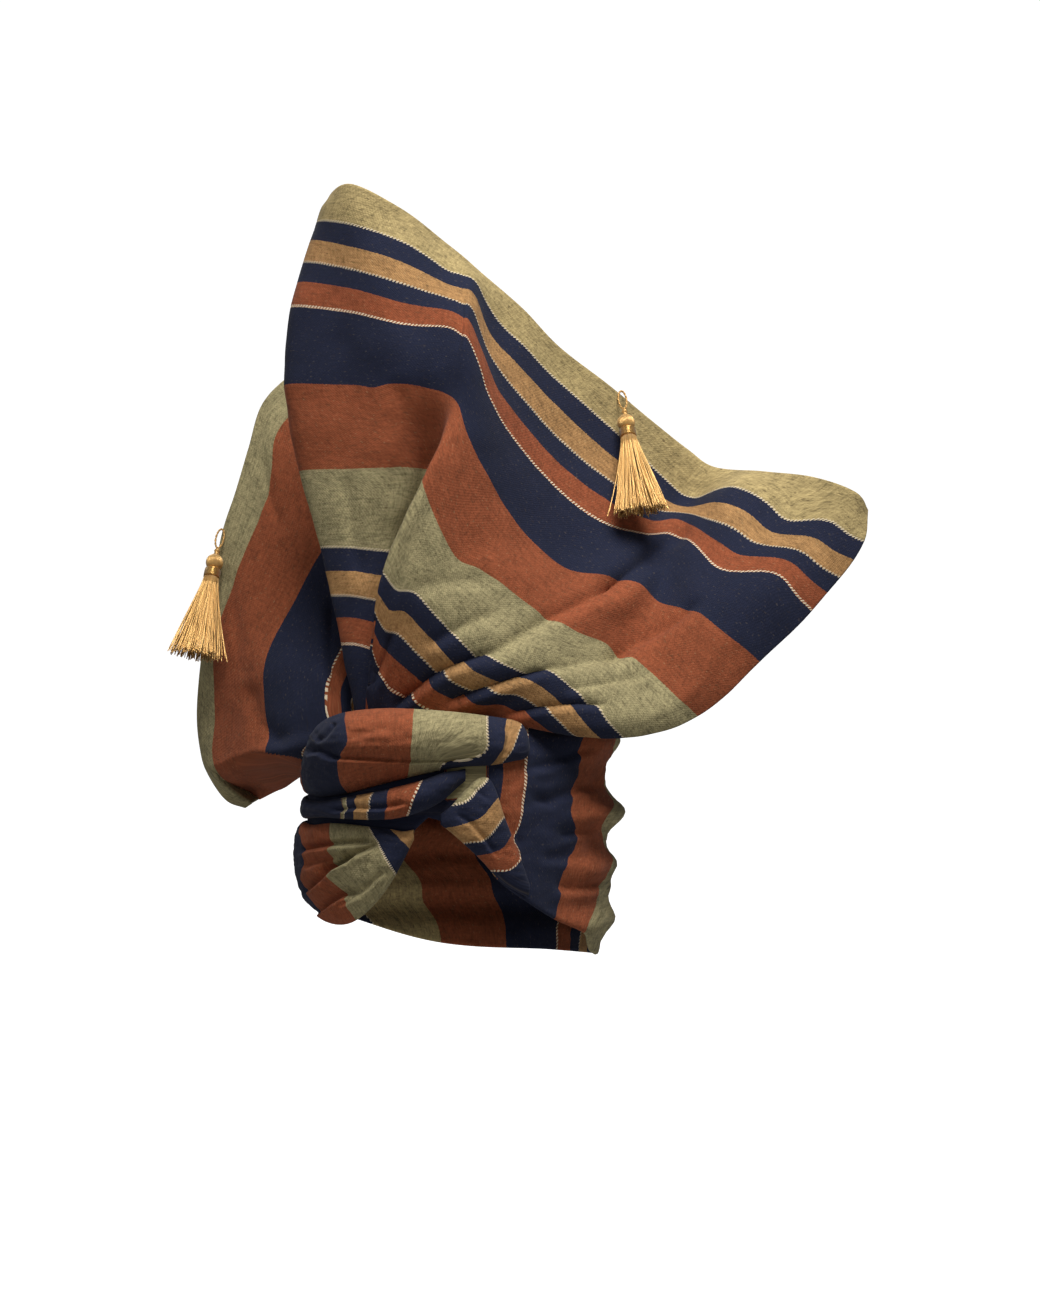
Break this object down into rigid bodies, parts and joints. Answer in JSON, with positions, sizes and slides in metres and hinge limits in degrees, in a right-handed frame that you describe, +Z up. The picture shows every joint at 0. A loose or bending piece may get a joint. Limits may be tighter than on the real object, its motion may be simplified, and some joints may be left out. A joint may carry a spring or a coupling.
{
  "type": "turban",
  "caption": "Striped cloth turban with a rolled front knot, a fitted hollow wrap, two spread scarf-end wings and hanging thread tassels.",
  "frame": {"origin": "inside top of the crown, where the wrap sits on the top of the head", "axes": "+Z up, the wearer faces -Y, +X is the wearer's left"},
  "size_m": [0.4182, 0.2337, 0.4647],
  "materials": {
    "striped_cloth": "matt plain weave of slubbed yarn, in stripes of sage, navy, ochre and rust",
    "tassel_thread": "silky gold thread",
    "tassel_binding": "tightly wound glossy gold thread"
  },
  "bodies": {
    "root": {"crown_wrap": "striped_cloth", "upper_fold": "striped_cloth", "middle_fold": "striped_cloth", "lower_fold": "striped_cloth", "brow_fold": "striped_cloth", "front_wing": "striped_cloth", "rear_wing": "striped_cloth", "front_tassel_loop": "tassel_thread", "front_tassel_head": "tassel_thread", "front_tassel_binding": "tassel_binding", "front_tassel_skirt": "tassel_thread", "rear_tassel_loop": "tassel_thread", "rear_tassel_head": "tassel_thread", "rear_tassel_binding": "tassel_binding", "rear_tassel_skirt": "tassel_thread"}
  },
  "joints": []
}
